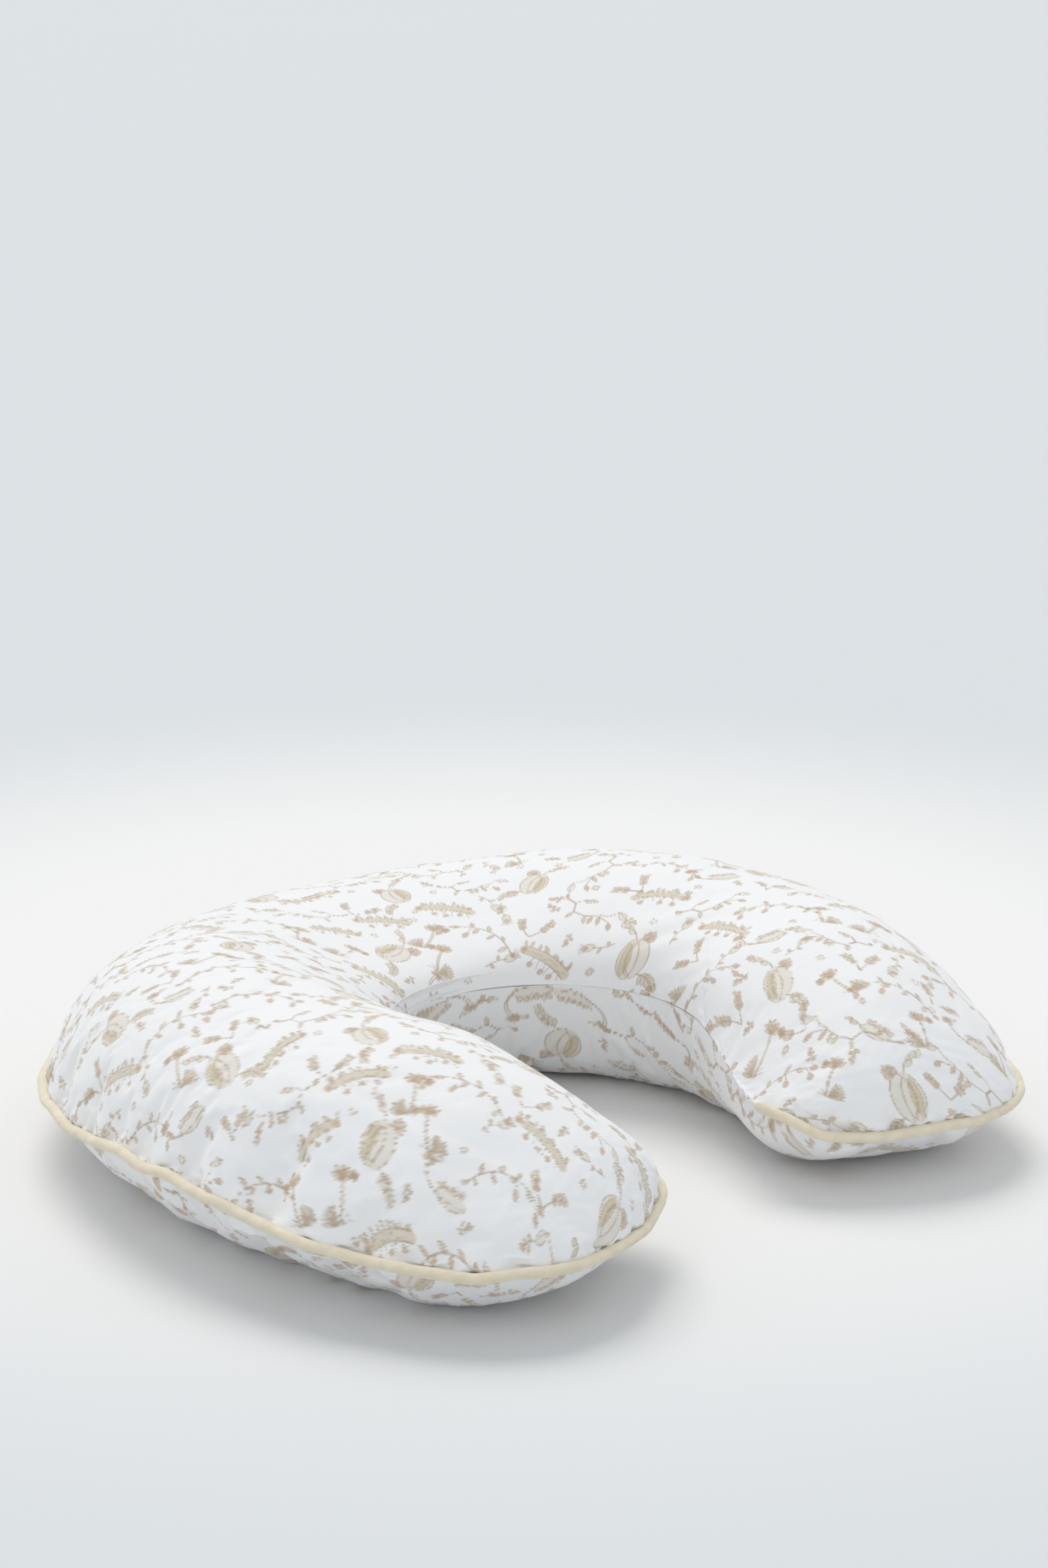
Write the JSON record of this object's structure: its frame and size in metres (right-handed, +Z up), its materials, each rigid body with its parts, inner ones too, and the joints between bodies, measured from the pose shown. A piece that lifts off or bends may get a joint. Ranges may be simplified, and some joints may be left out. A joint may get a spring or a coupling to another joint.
{
  "type": "nursing pillow",
  "caption": "C-shaped fibre-filled nursing pillow lying flat: domed printed cotton cover, cream piped outer seam, concealed zip round the waist hollow.",
  "frame": {"origin": "on the floor under the centre of the pillow's outline, piping included", "axes": "+Z up, the mouth of the C faces -Y, X = 0 is the plane of symmetry"},
  "size_m": [0.5828, 0.558, 0.1447],
  "materials": {
    "print_cotton": "white plain-weave cotton with a beige botanical line print",
    "piping_cotton": "cream bias-cut cotton",
    "cord_cotton": "twisted cotton filler cord",
    "label_satin": "blank white woven satin",
    "zip_tape": "white herringbone tape",
    "zip_nylon": "white nylon coil",
    "zip_metal": "white enamelled zinc",
    "sewing_thread": "polyester thread",
    "liner_cotton": "plain undyed cotton",
    "fibre": "polyester hollow fibre"
  },
  "bodies": {
    "pillow": {"cover_top": "print_cotton", "cover_bottom": "print_cotton", "piping_cover": "piping_cotton", "piping_cord": "cord_cotton", "woven_label": "label_satin", "care_label": "label_satin", "zip_tape_upper": "zip_tape", "zip_tape_lower": "zip_tape", "zip_coil_upper": "zip_nylon", "zip_coil_lower": "zip_nylon", "zip_thread_upper": "sewing_thread", "zip_thread_lower": "sewing_thread", "zip_top_stops": "zip_metal", "zip_bottom_stop": "zip_metal", "liner_top": "liner_cotton", "liner_bottom": "liner_cotton", "fibre_filling": "fibre", "cover_seam_thread": "sewing_thread", "liner_seam_thread": "sewing_thread", "liner_closing_thread": "sewing_thread"},
    "slider": {"zip_slider": "zip_metal"},
    "pull_tab": {"zip_pull_tab": "zip_metal"}
  },
  "joints": [
    {"name": "zip_travel", "type": "hinge", "parent": "pillow", "child": "slider", "pos_m": [0, -0.06275, 0.08], "axis": [0, 0, -1], "range_deg": [0, 190]},
    {"name": "tab_swing", "type": "hinge", "parent": "slider", "child": "pull_tab", "pos_m": [-0.09138, -0.07155, 0.08], "axis": [0, 0, -1], "range_deg": [0, 160]}
  ]
}
